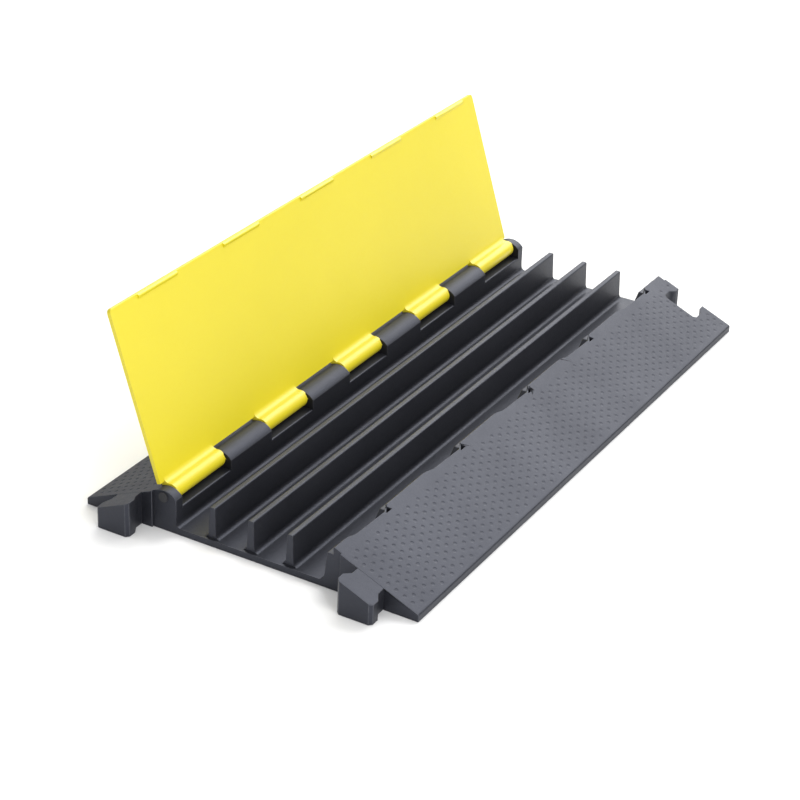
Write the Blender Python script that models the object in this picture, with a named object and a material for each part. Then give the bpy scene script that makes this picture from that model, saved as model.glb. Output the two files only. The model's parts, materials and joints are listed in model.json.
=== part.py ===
"""Four-channel cable protector ramp with a hinged lid that stands open.

X runs along the cables, the lid's hinge is on the +Y side, Z is up, and the
origin is the centre of the underside. Sizes are in millimetres.
"""
import math

import bmesh
import bpy

MM = 0.001
GAP = 0.3

# Outline of the moulded base
LENGTH = 900.0
WIDTH = 472.0
TOE_HEIGHT = 9.5
CREST_Y = 118.0
CREST_HEIGHT = 59.6
END_INSET = 3.0
FRONT_SEAM_Y = 129.0
REAR_SEAM_Y = 138.0

# Cable channels
CHANNELS_FRONT_Y = -106.0
CHANNELS_REAR_Y = 104.0
CHANNEL_COUNT = 4
FLOOR_HEIGHT = 9.2
DIVIDER_HEIGHT = 52.0
DIVIDER_FOOT = 10.5
DIVIDER_TIP = 8.0
DIVIDER_END_INSET = 7.0
EDGE_CHAMFER = 1.2

# Ledge that the lid's free edge lands on, with its finger pockets.
# The plans give x from each pocket's place, and y.
LEDGE_HEIGHT = 49.5
LEDGE_EDGE_Y = -110.0
POCKET_COUNT = 5
POCKET_PITCH = 182.0
POCKET_X = 27.0
POCKET_PLAN = [(-88, -118), (-68, -123), (-6, -124.5), (8, -118)]
POCKET_FLOOR = 38.0
NOTCH_PLAN = [(4, -121.5), (-5, -127.2), (7, -127.2)]
NOTCH_FLOOR = 40.5

# Hinge
HINGE_Y = 122.0
HINGE_Z = 46.5
CROWN_RADIUS = 24.0
CROWN_Y = 122.5
KNUCKLE_COUNT = 4
KNUCKLE_PITCH = 189.0
KNUCKLE_WIDTH = 92.0
END_KNUCKLE_WIDTH = 14.0
SHELF_HEIGHT = 33.3
STOP_CLEARANCE = 0.5
ROD_RADIUS = 4.0
BORE_RADIUS = 4.35
ROD_END_SETBACK = 6.0
PLUG_HEAD_RADIUS = 6.5
PLUG_HEAD_LENGTH = 1.5

# Lid, described closed and relative to the hinge axis
OPEN_ANGLE = 108.0
LID_LENGTH = 880.0
LID_REACH = 239.0
LID_UNDERSIDE = 5.8
LID_THICKNESS = 5.0
SIDE_CLEARANCE = 1.0
KNUCKLE_CUTOUT = 13.6
LID_CORNER = 6.0
TAB_COUNT = 5
TAB_PITCH = 179.0
TAB_SHIFT = 12.0
TAB_LENGTH = 80.0
TAB_WIDTH = 6.0
TAB_HEIGHT = 2.5
TAB_EDGE_MARGIN = 1.0

# Connectors between one ramp and the next
LUG_Y = 171.0
LUG_REACH = 37.0
LUG_NECK_HALF = 18.0
LUG_HEAD_HALF = 24.0
LUG_NECK_LENGTH = 12.0
LUG_FLARE = 10.0
LUG_CORNER = 4.0
SOCKET_CLEARANCE = 1.5

SLOPE = (CREST_HEIGHT - TOE_HEIGHT) / (WIDTH / 2 - CREST_Y)
LID_TOP = LID_UNDERSIDE + LID_THICKNESS
ARC_STEP = 7.5


def slope_height(y):
    """Height of either ramp's sloping face at a distance y from the middle."""
    return TOE_HEIGHT + SLOPE * (WIDTH / 2 - abs(y))


def arc(centre, radius, start, end):
    """Points on an arc in the YZ plane, angles in degrees from +Y."""
    steps = max(2, round(abs(end - start) / ARC_STEP))
    angles = [math.radians(start + (end - start) * i / steps) for i in range(steps + 1)]
    return [(centre[0] + radius * math.cos(a), centre[1] + radius * math.sin(a)) for a in angles]


def box_outline(low, high):
    """Rectangle between two opposite corners."""
    return [(low[0], low[1]), (high[0], low[1]), (high[0], high[1]), (low[0], high[1])]


def make_material(name, color, roughness, metallic=0.0):
    """Plain Principled material."""
    material = bpy.data.materials.new(name)
    material.use_nodes = True
    shader = material.node_tree.nodes["Principled BSDF"]
    shader.inputs["Base Color"].default_value = (*color, 1.0)
    shader.inputs["Roughness"].default_value = roughness
    shader.inputs["Metallic"].default_value = metallic
    material.diffuse_color = (*color, 1.0)
    return material


def make_object(name, rings, material):
    """Closed solid between two matching outlines, given as XYZ points in mm."""
    bm = bmesh.new()
    low, high = [[bm.verts.new([c * MM for c in point]) for point in ring] for ring in rings]
    bm.faces.new(low)
    bm.faces.new(high)
    for i in range(len(low)):
        j = (i + 1) % len(low)
        bm.faces.new((low[i], low[j], high[j], high[i]))
    bmesh.ops.recalc_face_normals(bm, faces=bm.faces)
    mesh = bpy.data.meshes.new(name)
    bm.to_mesh(mesh)
    bm.free()
    mesh.shade_smooth()
    mesh.set_sharp_from_angle(angle=math.radians(20))
    obj = bpy.data.objects.new(name, mesh)
    bpy.context.collection.objects.link(obj)
    if material:
        mesh.materials.append(material)
    return obj


def extrude_x(name, outline, x_low, x_high, material=None):
    """Prism with a YZ outline."""
    return make_object(name, [[(x, y, z) for y, z in outline] for x in (x_low, x_high)], material)


def extrude_z(name, outline, z_low, z_high, material=None):
    """Prism with an XY outline; z_high is a height or a function of y."""
    top = z_high if callable(z_high) else lambda y: z_high
    return make_object(name, [[(x, y, z_low) for x, y in outline],
                              [(x, y, top(y)) for x, y in outline]], material)


def rod_shape(name, radius, x_low, x_high, material=None):
    """Round bar along the hinge axis."""
    circle = arc((HINGE_Y, HINGE_Z), radius, 0, 360)[:-1]
    return extrude_x(name, circle, x_low, x_high, material)


def combine(target, tool, operation="DIFFERENCE"):
    """Boolean that keeps the tool as a hidden guide."""
    modifier = target.modifiers.new(tool.name, "BOOLEAN")
    modifier.operation = operation
    modifier.solver = "EXACT"
    modifier.object = tool
    tool.hide_render = True
    tool.display_type = "WIRE"


def lug_outline(side, clearance=0.0):
    """Plan of the T-shaped connector, from its root at x = 0 towards -X."""
    neck = LUG_NECK_HALF + clearance
    head = LUG_HEAD_HALF + clearance
    tip = -LUG_REACH - clearance
    half = [(0.0, neck), (-LUG_NECK_LENGTH + clearance, neck),
            (-LUG_NECK_LENGTH - LUG_FLARE + clearance, head),
            (tip + LUG_CORNER, head), (tip, head - LUG_CORNER)]
    centre = side * LUG_Y
    return [(x, centre + w) for x, w in half] + [(x, centre - w) for x, w in reversed(half)]


def make_ramp(name, side, seam_y, material):
    """Sloping side of the base, with the socket for the next ramp's lug at +X."""
    outline = [(side * seam_y, 0), (side * seam_y, slope_height(seam_y)),
               (side * (WIDTH / 2 - 1), slope_height(WIDTH / 2 - 1)),
               (side * WIDTH / 2, TOE_HEIGHT - 1), (side * WIDTH / 2, 0)]
    ramp = extrude_x(name, outline, -LENGTH / 2, LENGTH / 2, material)
    plan = lug_outline(side, SOCKET_CLEARANCE)
    mouth = [(LENGTH / 2 + (x if x < 0 else 5.0), y) for x, y in plan]
    combine(ramp, extrude_z(name + "_socket_cutter", mouth, -5, CREST_HEIGHT + 5))


def make_lug(name, side, material):
    """Connector that drops into the socket of the ramp on the -X side."""
    plan = [(x - LENGTH / 2 - GAP * (x == 0), y) for x, y in lug_outline(side)]
    extrude_z(name, plan, 0, slope_height, material)


def make_ledge_rail(material):
    """Drafted wall between the front ramp and the channels, with the ledge for the lid."""
    outline = [(-FRONT_SEAM_Y + GAP, 0), (-FRONT_SEAM_Y + GAP, slope_height(FRONT_SEAM_Y - GAP)),
               (-CREST_Y, CREST_HEIGHT), (-CREST_Y, LEDGE_HEIGHT),
               (LEDGE_EDGE_Y - EDGE_CHAMFER, LEDGE_HEIGHT),
               (LEDGE_EDGE_Y, LEDGE_HEIGHT - EDGE_CHAMFER),
               (CHANNELS_FRONT_Y, FLOOR_HEIGHT), (CHANNELS_FRONT_Y, 0)]
    end = LENGTH / 2 - END_INSET
    rail = extrude_x("ledge_rail", outline, -end, end, material)
    for index in range(POCKET_COUNT):
        x = (index - (POCKET_COUNT - 1) / 2) * POCKET_PITCH + POCKET_X
        plan = POCKET_PLAN + [(POCKET_PLAN[-1][0], CHANNELS_FRONT_Y + 5),
                              (POCKET_PLAN[0][0], CHANNELS_FRONT_Y + 5)]
        pocket = [(x + dx, y) for dx, y in plan]
        notch = [(x + dx, y) for dx, y in NOTCH_PLAN]
        top = CREST_HEIGHT + 5
        combine(rail, extrude_z("pocket_cutter_%d" % index, pocket, POCKET_FLOOR, top))
        combine(rail, extrude_z("notch_cutter_%d" % index, notch, NOTCH_FLOOR, top))


def divider_middles():
    """Y of each divider, from the hinge side; all the channels are equally wide."""
    channel = (CHANNELS_REAR_Y - CHANNELS_FRONT_Y - (CHANNEL_COUNT - 1) * DIVIDER_FOOT) / CHANNEL_COUNT
    pitch = channel + DIVIDER_FOOT
    return [CHANNELS_REAR_Y + DIVIDER_FOOT / 2 - i * pitch for i in range(1, CHANNEL_COUNT)]


def make_channels(material):
    """Floor under the cables, and the dividers that stand on it."""
    end = LENGTH / 2 - END_INSET
    floor = box_outline((CHANNELS_FRONT_Y + GAP, 0), (CHANNELS_REAR_Y - GAP, FLOOR_HEIGHT))
    extrude_x("channel_floor", floor, -end, end, material)
    for index, centre in enumerate(divider_middles(), 1):
        foot, tip = DIVIDER_FOOT / 2, DIVIDER_TIP / 2
        half_outline = [(foot, FLOOR_HEIGHT + GAP), (tip, DIVIDER_HEIGHT - EDGE_CHAMFER),
                        (tip - EDGE_CHAMFER, DIVIDER_HEIGHT)]
        outline = ([(centre + w, z) for w, z in half_outline]
                   + [(centre - w, z) for w, z in reversed(half_outline)])
        reach = LENGTH / 2 - DIVIDER_END_INSET
        extrude_x("cable_divider_%d" % index, outline, -reach, reach, material)


def trough_wall(inset):
    """Rear side of the hinge trough: an arc off the shelf, then the face the open lid leans on."""
    lean = 90.0 - OPEN_ANGLE
    radius = HINGE_Z - SHELF_HEIGHT
    spare = radius - LID_TOP - STOP_CLEARANCE
    centre = (HINGE_Y - spare / math.cos(math.radians(lean)), HINGE_Z)
    curve = arc(centre, radius - inset, -90.0, lean)
    y, z = curve[-1]
    along = (slope_height(y) - z) / (math.cos(math.radians(lean))
                                     - SLOPE * math.sin(math.radians(lean)))
    top_y = y - along * math.sin(math.radians(lean))
    return curve + [(top_y, slope_height(top_y))]


def make_hinge_rail(material):
    """Wall on the hinge side, with a trough that the lid's barrels turn in."""
    outline = ([(CHANNELS_REAR_Y, 0), (CHANNELS_REAR_Y, SHELF_HEIGHT)] + trough_wall(0.0)
               + [(REAR_SEAM_Y - GAP, slope_height(REAR_SEAM_Y - GAP)), (REAR_SEAM_Y - GAP, 0)])
    end = LENGTH / 2 - END_INSET
    extrude_x("hinge_rail", outline, -end, end, material)


def knuckle_spans():
    """X spans of the base's knuckles, the two thin end ones first and last."""
    end = LENGTH / 2 - END_INSET
    middles = [(i - (KNUCKLE_COUNT - 1) / 2) * KNUCKLE_PITCH for i in range(KNUCKLE_COUNT)]
    spans = [(x - KNUCKLE_WIDTH / 2, x + KNUCKLE_WIDTH / 2) for x in middles]
    return [(-end, END_KNUCKLE_WIDTH - end)] + spans + [(end - END_KNUCKLE_WIDTH, end)]


def make_knuckles(material):
    """Rounded blocks that fill the trough and hold the rod."""
    tilt = math.atan(SLOPE)
    centre = (CROWN_Y, slope_height(CROWN_Y) - CROWN_RADIUS / math.cos(tilt))
    front = math.degrees(math.acos((CHANNELS_REAR_Y - CROWN_Y) / CROWN_RADIUS))
    crown = arc(centre, CROWN_RADIUS, front, 90.0 - math.degrees(tilt))
    outline = ([(CHANNELS_REAR_Y, SHELF_HEIGHT + GAP)] + crown
               + list(reversed(trough_wall(GAP))))
    names = ["end_knuckle_left", "hinge_knuckle_1", "hinge_knuckle_2", "hinge_knuckle_3",
             "hinge_knuckle_4", "end_knuckle_right"]
    for name, (x_low, x_high) in zip(names, knuckle_spans()):
        knuckle = extrude_x(name, outline, x_low, x_high, material)
        combine(knuckle, rod_shape(name + "_bore", BORE_RADIUS, x_low - 5, x_high + 5))


def make_rod(rod_material, plug_material):
    """Long hinge rod, kept in by a plug in each end knuckle."""
    end = LENGTH / 2 - END_INSET
    rod_shape("hinge_rod", ROD_RADIUS, ROD_END_SETBACK - end, end - ROD_END_SETBACK, rod_material)
    for name, side in (("rod_plug_left", -1), ("rod_plug_right", 1)):
        face = side * (end + GAP)
        plug = rod_shape(name, PLUG_HEAD_RADIUS, face, face + side * PLUG_HEAD_LENGTH, plug_material)
        stem = rod_shape(name + "_stem", ROD_RADIUS, face + side * PLUG_HEAD_LENGTH / 2,
                         side * (end - ROD_END_SETBACK + GAP))
        combine(plug, stem, "UNION")


def lid_profile():
    """Closed lid's YZ outline: a flat panel that runs into the barrel at its root."""
    root = 180.0 - math.degrees(math.asin(LID_UNDERSIDE / LID_TOP))
    edge = -LID_REACH
    return ([(edge, LID_UNDERSIDE + EDGE_CHAMFER), (edge, LID_TOP - EDGE_CHAMFER),
             (edge + EDGE_CHAMFER, LID_TOP)]
            + arc((0, 0), LID_TOP, 90.0, root - 360.0)
            + [(edge + EDGE_CHAMFER, LID_UNDERSIDE)])


def make_lid(material):
    """Hinged lid with barrels between the knuckles and tabs along its free edge."""
    half = LID_LENGTH / 2
    lid = extrude_x("lid", lid_profile(), -half, half, material)
    tools = []
    for index, (x_low, x_high) in enumerate(knuckle_spans()):
        x_low = -half - 5 if index == 0 else x_low - SIDE_CLEARANCE
        x_high = half + 5 if index == KNUCKLE_COUNT + 1 else x_high + SIDE_CLEARANCE
        plan = box_outline((x_low, -KNUCKLE_CUTOUT), (x_high, LID_TOP + 5))
        tools.append((extrude_z("knuckle_cutout_%d" % index, plan, -20, 20), "DIFFERENCE"))
    for side in (-1, 1):
        tip = [(side * half, -LID_REACH + LID_CORNER), (side * (half - LID_CORNER), -LID_REACH),
               (side * (half - LID_CORNER), -LID_REACH - 5), (side * (half + 5), -LID_REACH - 5),
               (side * (half + 5), -LID_REACH + LID_CORNER)]
        tools.append((extrude_z("lid_corner_%d" % (side + 1), tip, -20, 20), "DIFFERENCE"))
    bore = extrude_x("lid_bore", arc((0, 0), BORE_RADIUS, 0, 360)[:-1], -half - 5, half + 5)
    tools.append((bore, "DIFFERENCE"))
    near = -LID_REACH + TAB_EDGE_MARGIN
    for index in range(TAB_COUNT):
        middle = (index - (TAB_COUNT - 1) / 2) * TAB_PITCH + TAB_SHIFT
        section = [(near, LID_UNDERSIDE + 1), (near + 1, LID_UNDERSIDE - TAB_HEIGHT + 1),
                   (near + 2, LID_UNDERSIDE - TAB_HEIGHT),
                   (near + TAB_WIDTH, LID_UNDERSIDE - TAB_HEIGHT),
                   (near + TAB_WIDTH, LID_UNDERSIDE + 1)]
        tools.append((extrude_x("lid_tab_%d" % index, section, middle - TAB_LENGTH / 2,
                                middle + TAB_LENGTH / 2), "UNION"))
    for tool, operation in tools:
        tool.parent = lid
        combine(lid, tool, operation)
    lid.location = (0.0, HINGE_Y * MM, HINGE_Z * MM)
    lid.rotation_euler = (-math.radians(OPEN_ANGLE), 0.0, 0.0)


def main():
    for obj in list(bpy.data.objects):
        bpy.data.objects.remove(obj, do_unlink=True)
    rubber = make_material("black_rubber", (0.030, 0.031, 0.036), 0.62)
    yellow = make_material("yellow_plastic", (0.88, 0.68, 0.03), 0.42)
    steel = make_material("rod_steel", (0.56, 0.57, 0.58), 0.35, 1.0)
    plug_plastic = make_material("black_plastic", (0.02, 0.02, 0.022), 0.5)
    make_ramp("front_ramp", -1, FRONT_SEAM_Y, rubber)
    make_ramp("rear_ramp", 1, REAR_SEAM_Y, rubber)
    make_lug("front_lug", -1, rubber)
    make_lug("rear_lug", 1, rubber)
    make_ledge_rail(rubber)
    make_channels(rubber)
    make_hinge_rail(rubber)
    make_knuckles(rubber)
    make_rod(steel, plug_plastic)
    make_lid(yellow)


main()
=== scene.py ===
import json
import math

import bmesh
import bpy
from mathutils import Matrix, Vector


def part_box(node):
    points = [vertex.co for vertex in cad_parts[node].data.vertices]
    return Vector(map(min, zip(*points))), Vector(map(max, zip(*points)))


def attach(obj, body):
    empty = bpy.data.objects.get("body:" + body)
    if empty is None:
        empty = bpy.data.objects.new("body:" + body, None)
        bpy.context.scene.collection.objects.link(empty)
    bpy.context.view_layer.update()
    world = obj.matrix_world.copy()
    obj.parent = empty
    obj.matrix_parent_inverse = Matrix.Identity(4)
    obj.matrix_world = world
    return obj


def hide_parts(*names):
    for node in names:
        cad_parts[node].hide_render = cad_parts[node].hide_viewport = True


# Four-channel cable protector ramp, dressed around its CAD frame.
# Outlines are in millimetres and become metres when their mesh is made.
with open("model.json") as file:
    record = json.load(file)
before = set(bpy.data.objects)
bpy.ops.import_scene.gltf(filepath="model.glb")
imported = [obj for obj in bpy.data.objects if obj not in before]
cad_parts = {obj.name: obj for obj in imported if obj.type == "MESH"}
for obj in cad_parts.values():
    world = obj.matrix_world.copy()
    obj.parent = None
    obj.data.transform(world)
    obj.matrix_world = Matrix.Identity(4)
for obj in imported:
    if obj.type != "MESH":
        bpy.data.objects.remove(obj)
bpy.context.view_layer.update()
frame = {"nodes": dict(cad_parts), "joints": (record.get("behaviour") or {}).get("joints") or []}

MM = 0.001


def span(node, axis):
    """Lowest and highest coordinate of a CAD node in mm."""
    low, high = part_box(node)
    return round(low[axis] / MM, 3), round(high[axis] / MM, 3)


# Sizes read from the frame
HALF_LENGTH = span("front_ramp", 0)[1]
HALF_WIDTH = span("rear_ramp", 1)[1]
FRONT_SEAM_Y = span("front_ramp", 1)[1]
RAIL_END = span("ledge_rail", 0)[1]
CHANNELS_FRONT_Y = span("ledge_rail", 1)[1]
CHANNELS_REAR_Y = span("hinge_rail", 1)[0]
CREST_HEIGHT = span("ledge_rail", 2)[1]
FLOOR_HEIGHT = span("channel_floor", 2)[1]
DIVIDER_HEIGHT = span("cable_divider_1", 2)[1]
DIVIDER_END = span("cable_divider_1", 0)[1]
LUG_TIP = -span("front_lug", 0)[0]
LID_END = span("lid", 0)[1]
HINGE = [c / MM for c in frame["joints"][0]["pos_m"]]
HINGE_Y, HINGE_Z = HINGE[1], HINGE[2]
OPEN_ANGLE = frame["joints"][0]["range_deg"][1]

# Sizes of the moulded base that the frame's boxes don't give
TOE_HEIGHT = 9.5
CREST_Y = 118.0
LEDGE_HEIGHT = 49.5
LEDGE_EDGE_Y = -110.0
POCKET_COUNT = 5
POCKET_PITCH = 182.0
POCKET_X = 27.0
POCKET_PLAN = [(-88, -118), (-68, -123), (-6, -124.5), (8, -118)]
POCKET_ROUNDS = [6, 8, 5, 3]
POCKET_FLOOR = 38.0
POCKET_END_X = -15.0
POCKET_END_SLANT = 9.0
NOTCH_PLAN = [(4, -121.5), (-5, -127.2), (7, -127.2)]
NOTCH_FLOOR = 40.5
SHELF_HEIGHT = 33.3
STOP_CLEARANCE = 0.5
CROWN_RADIUS = 24.0
CROWN_Y = 122.5
BORE_RADIUS = 4.35
DIVIDER_FOOT = 10.5
DIVIDER_TIP = 8.0
LUG_Y = 171.0
LUG_NECK_HALF = 18.0
LUG_HEAD_HALF = 24.0
LUG_NECK_LENGTH = 12.0
LUG_FLARE = 10.0
LUG_CORNER = 4.0
SOCKET_CLEARANCE = 1.5
SLOPE = (CREST_HEIGHT - TOE_HEIGHT) / (HALF_WIDTH - CREST_Y)

# Lid, closed and relative to the hinge axis
LID_REACH = 239.0
LID_UNDERSIDE = 5.8
LID_TOP = 10.8
BARREL_BLEND = 9.0
BARREL_ROUND = 2.6
BARREL_ROUND_SEGMENTS = 4
SIDE_CLEARANCE = 1.0
KNUCKLE_CUTOUT = 13.6
LID_CUT_REACH = 20.0
LID_CORNER = 6.0
LID_EDGE_ROUND = 1.5
TAB_COUNT = 5
TAB_PITCH = 179.0
TAB_SHIFT = 12.0
TAB_LENGTH = 80.0
TAB_WIDTH = 6.0
TAB_HEIGHT = 2.5
TAB_EDGE_MARGIN = 1.0
TAB_ROOT = 1.0
TAB_PROFILE = [(0.0, -TAB_ROOT), (0.0, 0.3), (1.6, TAB_HEIGHT), (3.0, TAB_HEIGHT),
               (TAB_WIDTH, 0.2), (TAB_WIDTH, -TAB_ROOT)]
TAB_ROUNDS = [0, 0, 1.0, 1.0, 0, 0]

# Rounded edges and fillets of the mouldings
TOE_ROUND = 3.0
CREST_ROUND = 1.6
BROW_ROUND = 1.0
CHANNEL_FILLET = 6.5
DIVIDER_ROUND = 2.2
BASE_BEVEL = 0.9
LID_BEVEL = 0.8
BEVEL_SEGMENTS = 3
BEVEL_ANGLE = 38.0
SHARP_ANGLE = 32.0

# Overlaps that keep joined faces apart, and how far the cutting tools reach past a piece
BURIED = 2.0
FILLET_SINK = 0.05
LUG_SINK = 0.02
OVERSHOOT = 9.0

# Anti-slip tread: staggered oval hollows
CELL_X = 11.7
HALF_CELL = 6.0
HOLLOW_X = 3.3
HOLLOW_Y = 2.9
HOLLOW_DEPTH = 0.6
HOLLOW_RINGS = ((1.0, 0.0), (0.78, 0.45), (0.5, 0.9))
HOLLOW_SIDES = 12
# Depth range, in units of HOLLOW_DEPTH, over which the hollows get painted shade
HOLLOW_DEPTHS = (0.2, 1.2)
TREAD_BORDER = 5.0
TREAD_CREST_BAND = 12.0
LID_SHOULDER = 3.0
LID_SHOULDER_BORDER = 2.0
SOCKET_FRAME = 7.0

# Degrees between the points of a rounded outline and of a channel fillet
ARC_STEP = 9.0
FILLET_STEP = 15.0

DIVIDERS = ["cable_divider_1", "cable_divider_2", "cable_divider_3"]
KNUCKLES = ["end_knuckle_left", "hinge_knuckle_1", "hinge_knuckle_2", "hinge_knuckle_3",
            "hinge_knuckle_4", "end_knuckle_right"]


# ---------------------------------------------------------------- outlines

def slope_height(y):
    """Height of either ramp's face at a distance y from the middle."""
    return TOE_HEIGHT + SLOPE * (HALF_WIDTH - abs(y))


def arc(centre, radius, start, end, step=ARC_STEP):
    """Points on an arc, angles in degrees."""
    steps = max(2, round(abs(end - start) / step))
    angles = [math.radians(start + (end - start) * i / steps) for i in range(steps + 1)]
    return [(centre[0] + radius * math.cos(a), centre[1] + radius * math.sin(a)) for a in angles]


def rounded(points, radii):
    """Closed outline with its corners rounded; a radius of 0 leaves a corner sharp."""
    outline = []
    count = len(points)
    for i, radius in enumerate(radii):
        here = Vector(points[i])
        if radius <= 0:
            outline.append(tuple(here))
            continue
        before = (Vector(points[i - 1]) - here).normalized()
        after = (Vector(points[(i + 1) % count]) - here).normalized()
        half = before.angle(after) / 2
        centre = here + (before + after).normalized() * radius / math.sin(half)
        start = here + before * radius / math.tan(half) - centre
        turn = start.angle_signed(here + after * radius / math.tan(half) - centre)
        steps = max(2, round(abs(math.degrees(turn)) / ARC_STEP))
        for k in range(steps + 1):
            bend = Matrix.Rotation(-turn * k / steps, 2)
            outline.append(tuple(centre + bend @ start))
    return outline


def box_outline(low, high):
    """Rectangle between two opposite corners."""
    return [(low[0], low[1]), (high[0], low[1]), (high[0], high[1]), (low[0], high[1])]


def lug_outline(side, clearance=0.0):
    """Plan of the T-shaped connector, from its root at x = 0 towards -X."""
    neck = LUG_NECK_HALF + clearance
    head = LUG_HEAD_HALF + clearance
    tip = HALF_LENGTH - LUG_TIP - clearance
    half = [(0.0, neck), (-LUG_NECK_LENGTH + clearance, neck),
            (-LUG_NECK_LENGTH - LUG_FLARE + clearance, head),
            (tip + LUG_CORNER, head), (tip, head - LUG_CORNER)]
    centre = side * LUG_Y
    return [(x, centre + w) for x, w in half] + [(x, centre - w) for x, w in reversed(half)]


# ---------------------------------------------------------------- meshes

def object_from(bm, name):
    """Object from a bmesh in mm, with its normals outward."""
    bmesh.ops.recalc_face_normals(bm, faces=bm.faces)
    bmesh.ops.scale(bm, vec=(MM, MM, MM), verts=bm.verts)
    mesh = bpy.data.meshes.new(name)
    bm.to_mesh(mesh)
    bm.free()
    obj = bpy.data.objects.new(name, mesh)
    bpy.context.scene.collection.objects.link(obj)
    return obj


def add_solid(bm, *rings):
    """Closed solid through matching rings of XYZ points."""
    levels = [[bm.verts.new(p) for p in ring] for ring in rings]
    bm.faces.new(levels[0])
    bm.faces.new(levels[-1])
    for low, high in zip(levels, levels[1:]):
        for i in range(len(low)):
            j = (i + 1) % len(low)
            bm.faces.new((low[i], low[j], high[j], high[i]))


def prisms_x(name, outlines, x_low, x_high):
    """Prisms along X with YZ outlines, in one object."""
    bm = bmesh.new()
    for outline in outlines:
        add_solid(bm, [(x_low, y, z) for y, z in outline], [(x_high, y, z) for y, z in outline])
    return object_from(bm, name)


def prisms_z(name, outlines, z_low, z_high):
    """Upright prisms with XY outlines, in one object; z_high may be a function of y."""
    top = z_high if callable(z_high) else lambda y: z_high
    bm = bmesh.new()
    for outline in outlines:
        add_solid(bm, [(x, y, z_low) for x, y in outline], [(x, y, top(y)) for x, y in outline])
    return object_from(bm, name)


def add_hollow(bm, rim):
    """One oval hollow inside a six-cornered cell of the tread."""
    centre = (rim[0].co + rim[3].co) / 2
    across = (rim[1].co - rim[0].co).normalized()
    along = (rim[4].co - rim[0].co).normalized()
    outward = across.cross(along)
    if outward.z < 0:
        outward = -outward
    rings = []
    for scale, depth in HOLLOW_RINGS:
        ring = []
        for k in range(HOLLOW_SIDES):
            angle = 2 * math.pi * k / HOLLOW_SIDES
            point = centre + across * (HOLLOW_X * scale * math.cos(angle))
            point += along * (HOLLOW_Y * scale * math.sin(angle)) - outward * (HOLLOW_DEPTH * depth)
            ring.append(bm.verts.new(point))
        rings.append(ring)
    corners = [rim[2], rim[3], rim[4], rim[5], rim[0], rim[1]]
    for k in range(6):
        ring = rings[0]
        bm.faces.new((corners[k], corners[(k + 1) % 6], ring[(2 * k + 2) % HOLLOW_SIDES],
                      ring[2 * k + 1], ring[2 * k]))
    for outer, inner in zip(rings, rings[1:]):
        for k in range(HOLLOW_SIDES):
            j = (k + 1) % HOLLOW_SIDES
            bm.faces.new((outer[k], outer[j], inner[j], inner[k]))
    bm.faces.new(rings[-1])


def treaded_bar(name, half_length, tread_line, rest, is_plain):
    """Bar along X. tread_line runs over its treaded face, and rest closes its outline."""
    columns = int((2 * half_length - TREAD_BORDER) / CELL_X)
    start = -columns * CELL_X / 2
    lines = [-half_length] + [start + i * CELL_X for i in range(columns + 1)] + [half_length]
    bm = bmesh.new()
    grid = [[bm.verts.new((x, y, z)) for y, z in tread_line] for x in lines]
    rows = len(tread_line)
    taken = set()
    for i in range(1, columns + 1):
        for j in range(1 + i % 2, rows - 3, 2):
            middle = (grid[i][j].co + grid[i + 1][j + 2].co) / 2
            if is_plain(middle.x, middle.y):
                continue
            add_hollow(bm, [grid[i][j], grid[i + 1][j], grid[i + 1][j + 1],
                            grid[i + 1][j + 2], grid[i][j + 2], grid[i][j + 1]])
            taken.update({(i, j), (i, j + 1)})
    for i in range(len(lines) - 1):
        for j in range(rows - 1):
            if (i, j) not in taken:
                bm.faces.new((grid[i][j], grid[i + 1][j], grid[i + 1][j + 1], grid[i][j + 1]))
    strips = [[column[-1] for column in grid]]
    strips += [[bm.verts.new((x, y, z)) for x in (-half_length, half_length)] for y, z in rest]
    strips += [[column[0] for column in grid]]
    for lower, upper in zip(strips, strips[1:]):
        bm.faces.new(lower + upper[::-1])
    for end in (0, -1):
        bm.faces.new(grid[end][:-1] + [strip[end] for strip in strips[:-1]])
    return object_from(bm, name)


def tread_rows(start, end, first, last):
    """Points from start to end, half a cell apart between the first and last border."""
    start, end = Vector(start), Vector(end)
    length = (end - start).length
    rows = int((length - first - last) / HALF_CELL)
    stops = [0.0] + [first + HALF_CELL * i for i in range(rows + 1)] + [length]
    return [tuple(start.lerp(end, s / length)) for s in stops]


def settle(obj):
    """Applies the modifiers to the mesh."""
    bpy.context.view_layer.update()
    source = obj.evaluated_get(bpy.context.evaluated_depsgraph_get())
    mesh = bpy.data.meshes.new_from_object(source)
    obj.modifiers.clear()
    obj.data = mesh


def combine(obj, tool, operation):
    """Boolean that uses the tool up."""
    modifier = obj.modifiers.new(tool.name, "BOOLEAN")
    modifier.operation = operation
    modifier.solver = "EXACT"
    modifier.object = tool
    settle(obj)
    bpy.data.objects.remove(tool, do_unlink=True)


def weigh_edges(obj, width, skip):
    """Gives full bevel weight to the outer edges between faces wide enough to be rounded."""
    bm = bmesh.new()
    bm.from_mesh(obj.data)
    weight = bm.edges.layers.float.new("bevel_weight_edge")
    for edge in bm.edges:
        if len(edge.link_faces) != 2 or not edge.is_convex:
            continue
        length = edge.calc_length()
        narrow = min(face.calc_area() for face in edge.link_faces) < length * width * MM
        sharp = edge.calc_face_angle() > math.radians(BEVEL_ANGLE)
        middle = (edge.verts[0].co + edge.verts[1].co) / 2 / MM
        if sharp and not narrow and not skip(*middle):
            edge[weight] = 1.0
    bm.to_mesh(obj.data)
    bm.free()


def soften(obj, width, skip=lambda x, y, z: False, segments=BEVEL_SEGMENTS):
    """Rounds the outer edges and gives the rounded strips the second material slot."""
    weigh_edges(obj, width, skip)
    while len(obj.data.materials) < 2:
        obj.data.materials.append(None)
    bevel = obj.modifiers.new("soft_edges", "BEVEL")
    bevel.width = width * MM
    bevel.segments = segments
    bevel.limit_method = "WEIGHT"
    bevel.use_clamp_overlap = False
    bevel.material = 1
    settle(obj)


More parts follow.
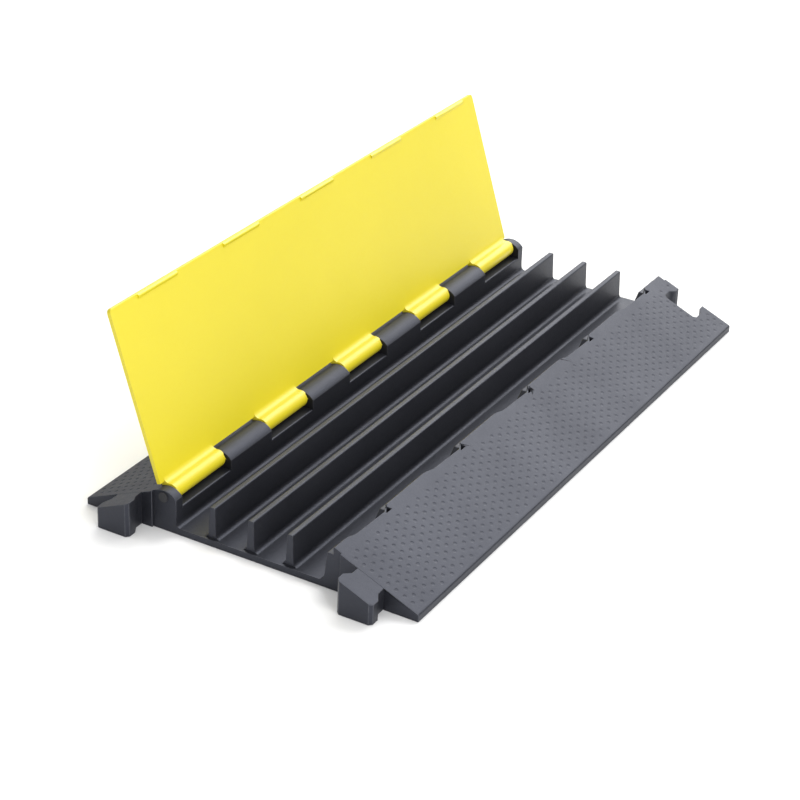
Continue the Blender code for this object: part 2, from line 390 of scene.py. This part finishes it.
def mark(obj, depth):
    """Stores which vertices lie on worn edges, and how far each lies below the treaded face, which
    masks the painted shade in the tread hollows.
    """
    mesh = obj.data
    worn = [1.0] * len(mesh.vertices)
    for face in mesh.polygons:
        if face.material_index == 0:
            for v in face.vertices:
                worn[v] = 0.0
    wear = mesh.attributes.new("wear", "FLOAT", "POINT")
    wear.data.foreach_set("value", worn)
    # The hollow mask sets where the materials paint shade into the bottoms of the tread hollows
    hollow = mesh.attributes.new("hollow", "FLOAT", "POINT")
    depths = [depth(*(v.co / MM)) / HOLLOW_DEPTH for v in mesh.vertices]
    least, most = HOLLOW_DEPTHS
    hollow.data.foreach_set("value", [min(1.0, d) if least < d < most else 0.0 for d in depths])
    for face in mesh.polygons:
        face.material_index = 0


def no_tread(x, y, z):
    """Depth below a tread, for a piece that has none."""
    return 0.0


def below_slope(x, y, z):
    """Depth below the sloping face of either ramp."""
    return (slope_height(y) - z) * math.cos(math.atan(SLOPE))


def finish_piece(obj, material, body, nodes, depth=no_tread):
    """Shading, material and place in the frame."""
    mark(obj, depth)
    mesh = obj.data
    mesh.materials.clear()
    mesh.materials.append(material)
    mesh.shade_smooth()
    mesh.set_sharp_from_angle(angle=math.radians(SHARP_ANGLE))
    even = obj.modifiers.new("even_shading", "WEIGHTED_NORMAL")
    even.keep_sharp = True
    settle(obj)
    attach(obj, body)
    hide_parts(*nodes)


# ---------------------------------------------------------------- pieces

def trim_ends(obj, y_low, y_high):
    """Cuts a stretch of the base back to the shorter ends of the channels."""
    past = HALF_LENGTH + OVERSHOOT
    ends = [box_outline((RAIL_END, y_low), (past, y_high)),
            box_outline((-past, y_low), (-RAIL_END, y_high))]
    combine(obj, prisms_z("end_trims", ends, -OVERSHOOT, CREST_HEIGHT + OVERSHOOT), "DIFFERENCE")


def add_connectors(obj, side):
    """Lug at the -X end and socket for the next ramp's lug at the +X end."""
    plan = lug_outline(side, SOCKET_CLEARANCE)
    mouth = [(HALF_LENGTH + (x if x < 0 else OVERSHOOT), y) for x, y in plan]
    combine(obj, prisms_z("socket", [mouth], -OVERSHOOT, CREST_HEIGHT + OVERSHOOT), "DIFFERENCE")
    lug = [(x - HALF_LENGTH + BURIED * (x == 0), y) for x, y in lug_outline(side)]
    combine(obj, prisms_z("lug", [lug], 0, lambda y: slope_height(y) - LUG_SINK), "UNION")


def near_socket(side):
    """Test for tread cells that the socket's plain frame takes the place of."""
    def test(x, y):
        reach = LUG_HEAD_HALF + SOCKET_CLEARANCE + SOCKET_FRAME
        depth = LUG_TIP - HALF_LENGTH + SOCKET_CLEARANCE + SOCKET_FRAME
        return x > HALF_LENGTH - depth and abs(y - side * LUG_Y) < reach
    return test


def toe_points(side):
    """Rounded toe, from the underside to the foot of the slope."""
    corner = [(0.0, 0.0), (side * HALF_WIDTH, 0.0),
              (side * HALF_WIDTH, TOE_HEIGHT), (side * CREST_Y, CREST_HEIGHT)]
    return rounded(corner, [0, 0, TOE_ROUND, 0])[1:-1]


def floor_fillet(y, direction):
    """Quarter round from a wall at y down to the channel floor."""
    centre = (y + direction * CHANNEL_FILLET, FLOOR_HEIGHT + CHANNEL_FILLET - FILLET_SINK)
    start = 180.0 if direction > 0 else 0.0
    end = 270.0 if direction > 0 else -90.0
    curve = arc(centre, CHANNEL_FILLET, start, end, FILLET_STEP)
    return curve + [(centre[0], FLOOR_HEIGHT - BURIED)]


def cut_pockets(side):
    """Cuts the finger pockets, each with an end that slants to its floor, and their notches."""
    inner_y = CHANNELS_FRONT_Y + OVERSHOOT
    mouth = [(POCKET_PLAN[-1][0], inner_y), (POCKET_PLAN[0][0], inner_y)]
    plan = rounded(POCKET_PLAN + mouth, POCKET_ROUNDS + [0, 0])
    floor = [(x - POCKET_END_SLANT * (x > POCKET_END_X), y) for x, y in plan]
    top = CREST_HEIGHT + OVERSHOOT
    levels = [(floor, POCKET_FLOOR), (plan, LEDGE_HEIGHT), (plan, top)]
    places = [(i - (POCKET_COUNT - 1) / 2) * POCKET_PITCH + POCKET_X for i in range(POCKET_COUNT)]
    bm = bmesh.new()
    for place in places:
        add_solid(bm, *[[(place + x, y, z) for x, y in ring] for ring, z in levels])
    combine(side, object_from(bm, "pockets"), "DIFFERENCE")
    notches = [[(place + x, y) for x, y in NOTCH_PLAN] for place in places]
    combine(side, prisms_z("notches", notches, NOTCH_FLOOR, top), "DIFFERENCE")


def front_side():
    """Front ramp with the ledge that the lid lands on, its finger pockets and its lug."""
    toe = toe_points(-1)
    crest = rounded([(-HALF_WIDTH, TOE_HEIGHT), (-CREST_Y, CREST_HEIGHT), (-CREST_Y, 0)],
                    [0, CREST_ROUND, 0])[1:-1]
    slope = tread_rows(toe[-1], crest[0], TREAD_BORDER - TOE_ROUND, TREAD_CREST_BAND)
    ledge = [(-CREST_Y, LEDGE_HEIGHT)] + rounded(
        [(-CREST_Y, LEDGE_HEIGHT), (LEDGE_EDGE_Y, LEDGE_HEIGHT), (CHANNELS_FRONT_Y, FLOOR_HEIGHT)],
        [0, CREST_ROUND, 0])[1:-1]
    rest = crest[1:] + ledge + floor_fillet(CHANNELS_FRONT_Y, 1)
    rest += [(CHANNELS_FRONT_Y, 0.0)] + toe[:-1]
    side = treaded_bar("front_side", HALF_LENGTH, slope, rest, near_socket(-1))
    trim_ends(side, FRONT_SEAM_Y, 0)
    cut_pockets(side)
    add_connectors(side, -1)
    return side


def trough_line():
    """Hinge trough from the shelf to the top of the face that the open lid leans on."""
    lean = 90.0 - OPEN_ANGLE
    radius = HINGE_Z - SHELF_HEIGHT
    spare = radius - LID_TOP - STOP_CLEARANCE
    centre = (HINGE_Y - spare / math.cos(math.radians(lean)), HINGE_Z)
    curve = arc(centre, radius, -90.0, lean)
    y, z = curve[-1]
    tilt = math.radians(lean)
    along = (slope_height(y) - z) / (math.cos(tilt) - SLOPE * math.sin(tilt))
    top_y = y - along * math.sin(tilt)
    return curve + [(top_y, slope_height(top_y))]


def rear_side():
    """Rear ramp with the hinge trough, the channel wall below it and its lug."""
    toe = toe_points(1)
    trough = trough_line()
    brow = rounded([toe[-1], trough[-1], trough[-2]], [0, BROW_ROUND, 0])[1:-1]
    slope = tread_rows(toe[-1], brow[0], TREAD_BORDER - TOE_ROUND, TREAD_BORDER)
    lip = rounded([trough[0], (CHANNELS_REAR_Y, SHELF_HEIGHT), (CHANNELS_REAR_Y, 0)],
                  [0, DIVIDER_ROUND, 0])[:-1]
    rest = brow[1:] + trough[-2:0:-1] + lip
    rest += floor_fillet(CHANNELS_REAR_Y, -1) + [(CHANNELS_REAR_Y, 0.0)] + toe[:-1]
    side = treaded_bar("rear_side", HALF_LENGTH, slope, rest, near_socket(1))
    trim_ends(side, 0, span("hinge_rail", 1)[1])
    add_connectors(side, 1)
    return side


def channel_bed():
    """Channel floor, let into the walls at both sides."""
    outline = box_outline((CHANNELS_FRONT_Y - BURIED, 0.0), (CHANNELS_REAR_Y + BURIED, FLOOR_HEIGHT))
    return prisms_x("channel_bed", [outline], -RAIL_END, RAIL_END)


def divider_walls():
    """Drafted walls with rounded tops and fillets down to the floor."""
    foot, tip = DIVIDER_FOOT / 2, DIVIDER_TIP / 2
    root = FLOOR_HEIGHT + CHANNEL_FILLET - FILLET_SINK
    fillet = arc((foot + CHANNEL_FILLET, root), CHANNEL_FILLET, 270.0, 180.0, FILLET_STEP)
    top = rounded([(foot, root), (tip, DIVIDER_HEIGHT), (0, DIVIDER_HEIGHT)],
                  [0, DIVIDER_ROUND, 0])[1:-1]
    half = [(foot + CHANNEL_FILLET, FLOOR_HEIGHT - BURIED)] + fillet + top
    outlines = []
    for node in DIVIDERS:
        centre = sum(span(node, 1)) / 2
        outlines.append([(centre + w, z) for w, z in half]
                        + [(centre - w, z) for w, z in reversed(half)])
    return prisms_x("divider_walls", outlines, -DIVIDER_END, DIVIDER_END)


def knuckle(node):
    """Rounded block that fills the trough and holds the rod."""
    x_low, x_high = span(node, 0)
    tilt = math.atan(SLOPE)
    centre = (CROWN_Y, slope_height(CROWN_Y) - CROWN_RADIUS / math.cos(tilt))
    front = math.degrees(math.acos((CHANNELS_REAR_Y - CROWN_Y) / CROWN_RADIUS))
    crown = arc(centre, CROWN_RADIUS, front, 90.0 - math.degrees(tilt))
    rear = trough_line()[-1][0] + 2 * BURIED
    root = SHELF_HEIGHT - 2 * BURIED
    outline = [(CHANNELS_REAR_Y, root)] + crown + [(rear, slope_height(rear)), (rear, root)]
    return prisms_x(node, [outline], x_low, x_high)


def make_base(material):
    """The whole black moulding, with the rod's bore through its knuckles."""
    base = front_side()
    base.name = "base_moulding"
    for part in [channel_bed(), rear_side(), divider_walls()] + [knuckle(n) for n in KNUCKLES]:
        combine(base, part, "UNION")
    bore = arc((HINGE_Y, HINGE_Z), BORE_RADIUS, 0, 360)[:-1]
    past = RAIL_END + OVERSHOOT
    combine(base, prisms_x("bore", [bore], -past, past), "DIFFERENCE")
    fillet_top = FLOOR_HEIGHT + CHANNEL_FILLET
    soften(base, BASE_BEVEL, lambda x, y, z: FLOOR_HEIGHT < z < fillet_top and abs(y) < HINGE_Y)
    nodes = ["front_ramp", "rear_ramp", "front_lug", "rear_lug", "ledge_rail", "hinge_rail",
             "channel_floor"] + DIVIDERS + KNUCKLES
    finish_piece(base, material, "base", nodes, below_slope)


def lid_lines():
    """Closed lid's YZ outline as its treaded line and the rest."""
    edge = -LID_REACH
    rim = rounded([(0, LID_UNDERSIDE), (edge, LID_UNDERSIDE), (edge, LID_TOP), (0, LID_TOP)],
                  [0, LID_EDGE_ROUND, LID_EDGE_ROUND, 0])[1:-1]
    shoulder = -KNUCKLE_CUTOUT - LID_SHOULDER
    tread = tread_rows(rim[-1], (shoulder, LID_TOP), TREAD_BORDER, LID_SHOULDER_BORDER)
    drop = LID_UNDERSIDE - BARREL_BLEND
    out = math.sqrt((LID_TOP + BARREL_BLEND) ** 2 - drop ** 2)
    meet = math.degrees(math.atan2(drop, -out)) % 360 - 360
    barrel = arc((0, 0), LID_TOP, 90.0, meet)
    blend = arc((-out, drop), BARREL_BLEND, meet + 180.0, 90.0)
    return tread, barrel + blend[1:] + rim[:-1]


def cut_lid(lid):
    """Cuts the lid free of the knuckles and rounds its two outer corners in plan."""
    cutouts, clearings = [], []
    past = LID_END + OVERSHOOT
    behind = LID_TOP + OVERSHOOT
    for index, node in enumerate(KNUCKLES):
        low, high = span(node, 0)
        low = -past if index == 0 else low - SIDE_CLEARANCE
        high = past if index == len(KNUCKLES) - 1 else high + SIDE_CLEARANCE
        cutouts.append(box_outline((low, -KNUCKLE_CUTOUT), (high, behind)))
        clearings.append(box_outline((low, -3 * BARREL_BLEND), (high, behind)))
    combine(lid, prisms_z("cutouts", cutouts, -LID_CUT_REACH, LID_CUT_REACH), "DIFFERENCE")
    combine(lid, prisms_z("clearings", clearings, -LID_CUT_REACH, LID_UNDERSIDE), "DIFFERENCE")
    corners = []
    before = -LID_REACH - OVERSHOOT
    for side in (-1, 1):
        middle = (side * (LID_END - LID_CORNER), -LID_REACH + LID_CORNER)
        sweep = arc(middle, LID_CORNER, -90.0, -90.0 + side * 90.0)
        corners.append(sweep + [(side * past, sweep[-1][1]), (side * past, before),
                                (sweep[0][0], before)])
    combine(lid, prisms_z("corners", corners, -LID_CUT_REACH, LID_CUT_REACH), "DIFFERENCE")


def add_tabs(lid):
    """Low bars along the free edge of the lid's inner face."""
    near = -LID_REACH + TAB_EDGE_MARGIN
    section = rounded([(near + y, LID_UNDERSIDE - z) for y, z in TAB_PROFILE], TAB_ROUNDS)
    for index in range(TAB_COUNT):
        middle = (index - (TAB_COUNT - 1) / 2) * TAB_PITCH + TAB_SHIFT
        tab = prisms_x("tab", [section], middle - TAB_LENGTH / 2, middle + TAB_LENGTH / 2)
        combine(lid, tab, "UNION")


def off_barrel(x, y, z):
    """Test for edges that aren't at the ends of the barrels."""
    return y < -LID_TOP / 2 or abs(z) > LID_TOP * 1.01


def below_lid_face(x, y, z):
    """Depth below the closed lid's treaded face."""
    return LID_TOP - z if y < -KNUCKLE_CUTOUT else 0.0


def make_lid(material):
    """Hinged lid, built closed and then swung open about the hinge axis."""
    tread, rest = lid_lines()
    lid = treaded_bar("lid_panel", LID_END, tread, rest, lambda x, y: False)
    cut_lid(lid)
    soften(lid, BARREL_ROUND, off_barrel, BARREL_ROUND_SEGMENTS)
    add_tabs(lid)
    bore = arc((0, 0), BORE_RADIUS, 0, 360)[:-1]
    past = LID_END + OVERSHOOT
    combine(lid, prisms_x("bore", [bore], -past, past), "DIFFERENCE")
    soften(lid, LID_BEVEL)
    finish_piece(lid, material, "lid", ["lid"], below_lid_face)
    swing = Matrix.Rotation(-math.radians(OPEN_ANGLE), 4, "X")
    lid.data.transform(Matrix.Translation(Vector(HINGE) * MM) @ swing)


# ---------------------------------------------------------------- materials

RUBBER_DARK, RUBBER_LIGHT = (0.010, 0.0105, 0.013), (0.016, 0.0165, 0.020)
RUBBER_SPECK = (0.030, 0.031, 0.036)
# Painted shade for the bottoms of the tread hollows
RUBBER_HOLLOW_SHADE = (0.004, 0.004, 0.005)
RUBBER_WORN = (0.065, 0.067, 0.073)
RUBBER_SHEEN = (0.74, 0.79, 1.0, 1.0)
YELLOW_DARK, YELLOW_LIGHT = (0.675, 0.57, 0.014), (0.71, 0.60, 0.019)
YELLOW_SPECK = (0.70, 0.55, 0.018)
# Painted shade for the bottoms of the tread hollows
YELLOW_HOLLOW_SHADE = (0.55, 0.36, 0.02)
YELLOW_WORN = (0.72, 0.60, 0.03)
STEEL_DARK, STEEL_LIGHT = (0.42, 0.43, 0.44), (0.62, 0.63, 0.64)
PLUG_DARK, PLUG_LIGHT = (0.016, 0.016, 0.018), (0.030, 0.030, 0.033)
TEXTURE_RANGE = (0.3, 0.7)


def new_material(name):
    """Principled material, its shader and a helper that adds linked nodes."""
    material = bpy.data.materials.new(name)
    material.use_nodes = True
    tree = material.node_tree
    shader = tree.nodes["Principled BSDF"]

    def add(kind, links=(), **values):
        node = tree.nodes.new("ShaderNode" + kind)
        for key, value in values.items():
            if key in node.inputs:
                node.inputs[key].default_value = value
            else:
                setattr(node, key, value)
        for socket, source in dict(links).items():
            tree.links.new(source, node.inputs[socket])
        return node

    return material, tree, shader, add


def noise(add, place, scale, detail=4.0, roughness=0.55):
    """Noise texture's value over object coordinates."""
    node = add("TexNoise", {"Vector": place}, Scale=scale, Detail=detail, Roughness=roughness)
    return node.outputs["Fac"]


def ramp(add, source, dark, light, ends=TEXTURE_RANGE):
    """Colour ramp over a texture's value."""
    node = add("ValToRGB", {"Fac": source})
    for element, position, color in zip(node.color_ramp.elements, ends, (dark, light)):
        element.position = position
        element.color = (*color, 1)
    return node.outputs["Color"]


def spread(add, source, low, high):
    """Maps a texture's value onto a range."""
    node = add("MapRange", {"Value": source})
    for key, value in zip(("From Min", "From Max", "To Min", "To Max"), (*TEXTURE_RANGE, low, high)):
        node.inputs[key].default_value = value
    return node.outputs["Result"]


def blend(add, factor, first, second):
    """Mixes two colours."""
    node = add("Mix", {"Factor": factor}, data_type="RGBA")
    for socket, value in ((6, first), (7, second)):
        if isinstance(value, tuple):
            node.inputs[socket].default_value = (*value, 1)
        else:
            node.id_data.links.new(value, node.inputs[socket])
    return node.outputs[2]


def times(add, first, second):
    """Product of a linked value and another one or a number."""
    node = add("Math", {0: first}, operation="MULTIPLY")
    if isinstance(second, float):
        node.inputs[1].default_value = second
    else:
        node.id_data.links.new(second, node.inputs[1])
    return node.outputs[0]


def make_rubber():
    """Black rubber: fine moulded grain, painted shade in the tread hollows and greyer worn edges."""
    material, tree, shader, add = new_material("black_rubber_surface")
    place = add("TexCoord").outputs["Object"]
    broad = noise(add, place, 9.0)
    fine = noise(add, place, 260.0, 3.0)
    grain = noise(add, place, 1500.0, 2.0, 0.7)
    wear = add("Attribute", attribute_name="wear").outputs["Fac"]
    hollow = add("Attribute", attribute_name="hollow").outputs["Fac"]
    body = ramp(add, broad, RUBBER_DARK, RUBBER_LIGHT)
    speck = blend(add, spread(add, fine, 0.0, 0.25), body, RUBBER_SPECK)
    # Painted shade: darkens the tread hollows by their depth, in place of the shade inside them
    shaded_hollows = blend(add, times(add, hollow, 0.3), speck, RUBBER_HOLLOW_SHADE)
    rubbed = times(add, wear, spread(add, fine, 0.35, 0.8))
    color = blend(add, rubbed, shaded_hollows, RUBBER_WORN)
    tree.links.new(color, shader.inputs["Base Color"])
    rough = add("Math", {0: spread(add, broad, 0.40, 0.50), 1: spread(add, fine, -0.03, 0.05)},
                operation="ADD").outputs[0]
    tree.links.new(rough, shader.inputs["Roughness"])
    shader.inputs["Specular IOR Level"].default_value = 0.5
    shader.inputs["Specular Tint"].default_value = RUBBER_SHEEN
    pebbles = add("Bump", {"Height": grain}, Strength=0.25, Distance=0.00025)
    waves = add("Bump", {"Height": fine, "Normal": pebbles.outputs[0]},
                Strength=0.3, Distance=0.0004)
    tree.links.new(waves.outputs[0], shader.inputs["Normal"])
    return material


def make_yellow():
    """Yellow moulded plastic: slight flow marks in its colour, painted shade in the tread hollows
    and a satin skin.
    """
    material, tree, shader, add = new_material("yellow_plastic_surface")
    place = add("TexCoord").outputs["Object"]
    broad = noise(add, place, 4.5, 3.0)
    fine = noise(add, place, 220.0, 3.0)
    grain = noise(add, place, 1300.0, 2.0, 0.7)
    wear = add("Attribute", attribute_name="wear").outputs["Fac"]
    hollow = add("Attribute", attribute_name="hollow").outputs["Fac"]
    body = ramp(add, broad, YELLOW_DARK, YELLOW_LIGHT)
    speck = blend(add, spread(add, fine, 0.0, 0.18), body, YELLOW_SPECK)
    # Painted shade: darkens the tread hollows by their depth, in place of the shade inside them
    shaded_hollows = blend(add, times(add, hollow, 0.5), speck, YELLOW_HOLLOW_SHADE)
    rubbed = times(add, wear, spread(add, fine, 0.2, 0.5))
    color = blend(add, rubbed, shaded_hollows, YELLOW_WORN)
    tree.links.new(color, shader.inputs["Base Color"])
    tree.links.new(spread(add, fine, 0.32, 0.42), shader.inputs["Roughness"])
    shader.inputs["Specular IOR Level"].default_value = 0.65
    pebbles = add("Bump", {"Height": grain}, Strength=0.15, Distance=0.0002)
    tree.links.new(pebbles.outputs[0], shader.inputs["Normal"])
    return material


def make_steel():
    """Drawn steel bar with fine scratches along its length."""
    material, tree, shader, add = new_material("rod_steel_surface")
    place = add("TexCoord").outputs["Object"]
    stretched = add("Mapping", {"Vector": place}, Scale=(6.0, 500.0, 500.0)).outputs[0]
    lines = noise(add, stretched, 3.0, 5.0)
    color = ramp(add, lines, STEEL_DARK, STEEL_LIGHT)
    tree.links.new(color, shader.inputs["Base Color"])
    tree.links.new(spread(add, lines, 0.25, 0.42), shader.inputs["Roughness"])
    shader.inputs["Metallic"].default_value = 1.0
    scratches = add("Bump", {"Height": lines}, Strength=0.2, Distance=0.0001)
    tree.links.new(scratches.outputs[0], shader.inputs["Normal"])
    return material


def make_plug_plastic():
    """Black plastic with a fine spark-eroded grain."""
    material, tree, shader, add = new_material("black_plastic_surface")
    place = add("TexCoord").outputs["Object"]
    grain = noise(add, place, 900.0, 3.0)
    color = ramp(add, grain, PLUG_DARK, PLUG_LIGHT, (0.35, 0.65))
    tree.links.new(color, shader.inputs["Base Color"])
    tree.links.new(spread(add, grain, 0.42, 0.55), shader.inputs["Roughness"])
    pits = add("Bump", {"Height": grain}, Strength=0.3, Distance=0.0002)
    tree.links.new(pits.outputs[0], shader.inputs["Normal"])
    return material


def dress_node(name, material):
    """Gives a CAD node that keeps its shape a better material."""
    mesh = frame["nodes"][name].data
    mesh.materials.clear()
    mesh.materials.append(material)


# ---------------------------------------------------------------- studio

CAMERA_AZIMUTH = -60.58
CAMERA_ELEVATION = 28.31
CAMERA_ROLL = 2.28
CAMERA_TARGET = (0.0002, 0.0536, 0.0)
CAMERA_DISTANCE = 3.0264
CAMERA_LENS = 100.72
SENSOR_WIDTH = 36.0

# Strength of the surroundings rises from one value to the other between two heights
SKY_HEIGHTS = (0.0, 0.75)
SKY_STRENGTHS = (0.12, 1.05)

# Soft boxes: azimuth and elevation in degrees, distance and size in metres, power in watts
LIGHTS = {"key_light": (95, 40, 9.0, 9.0, 860),
          "fill_light": (-22, 20, 8.0, 5.0, 350)}
FLOOR_HALF = 12.0
FLOOR_COLOR = (0.90, 0.90, 0.90, 1.0)


def direction(azimuth, elevation):
    """Unit vector from the object towards a viewer."""
    a, e = math.radians(azimuth), math.radians(elevation)
    return Vector((math.sin(a) * math.cos(e), -math.cos(a) * math.cos(e), math.sin(e)))


def make_camera():
    """Camera at the photograph's viewing angle."""
    data = bpy.data.cameras.new("camera")
    data.lens = CAMERA_LENS
    data.sensor_width = SENSOR_WIDTH
    camera = bpy.data.objects.new("camera", data)
    bpy.context.scene.collection.objects.link(camera)
    back = direction(CAMERA_AZIMUTH, CAMERA_ELEVATION)
    azimuth = math.radians(CAMERA_AZIMUTH)
    right = Vector((math.cos(azimuth), math.sin(azimuth), 0.0))
    axes = Matrix((right, back.cross(right), back)).transposed()
    roll = Matrix.Rotation(math.radians(CAMERA_ROLL), 3, "Z")
    camera.rotation_mode = "QUATERNION"
    camera.rotation_quaternion = (axes @ roll).to_quaternion()
    camera.location = Vector(CAMERA_TARGET) + back * CAMERA_DISTANCE
    bpy.context.scene.camera = camera


def add_light(name, azimuth, elevation, distance, size, power):
    """Square soft box that faces the object."""
    data = bpy.data.lights.new(name, "AREA")
    data.shape = "SQUARE"
    data.size = size
    data.energy = power
    light = bpy.data.objects.new(name, data)
    bpy.context.scene.collection.objects.link(light)
    back = direction(azimuth, elevation)
    light.location = back * distance
    light.rotation_mode = "QUATERNION"
    light.rotation_quaternion = (-back).to_track_quat("-Z", "Y")


def make_studio():
    """Pale floor, surroundings that brighten towards the zenith, and soft boxes."""
    bm = bmesh.new()
    bmesh.ops.create_grid(bm, x_segments=1, y_segments=1, size=FLOOR_HALF / MM)
    floor = object_from(bm, "studio_floor")
    material = bpy.data.materials.new("studio_floor")
    material.use_nodes = True
    shader = material.node_tree.nodes["Principled BSDF"]
    shader.inputs["Base Color"].default_value = FLOOR_COLOR
    shader.inputs["Roughness"].default_value = 0.9
    shader.inputs["Specular IOR Level"].default_value = 0.1
    floor.data.materials.append(material)
    world = bpy.data.worlds.new("studio")
    world.use_nodes = True
    tree = world.node_tree
    place = tree.nodes.new("ShaderNodeTexCoord")
    split = tree.nodes.new("ShaderNodeSeparateXYZ")
    glow = tree.nodes.new("ShaderNodeMapRange")
    for key, value in zip(("From Min", "From Max", "To Min", "To Max"), SKY_HEIGHTS + SKY_STRENGTHS):
        glow.inputs[key].default_value = value
    tree.links.new(place.outputs["Generated"], split.inputs[0])
    tree.links.new(split.outputs["Z"], glow.inputs["Value"])
    tree.links.new(glow.outputs[0], tree.nodes["Background"].inputs["Strength"])
    tree.nodes["Background"].inputs["Color"].default_value = (1.0, 1.0, 1.0, 1.0)
    bpy.context.scene.world = world
    for name, values in LIGHTS.items():
        add_light(name, *values)
    bpy.context.scene.view_settings.view_transform = "Standard"


def main():
    make_camera()
    make_studio()
    rubber, yellow = make_rubber(), make_yellow()
    make_base(rubber)
    make_lid(yellow)
    dress_node("hinge_rod", make_steel())
    plug_plastic = make_plug_plastic()
    dress_node("rod_plug_left", plug_plastic)
    dress_node("rod_plug_right", plug_plastic)


main()
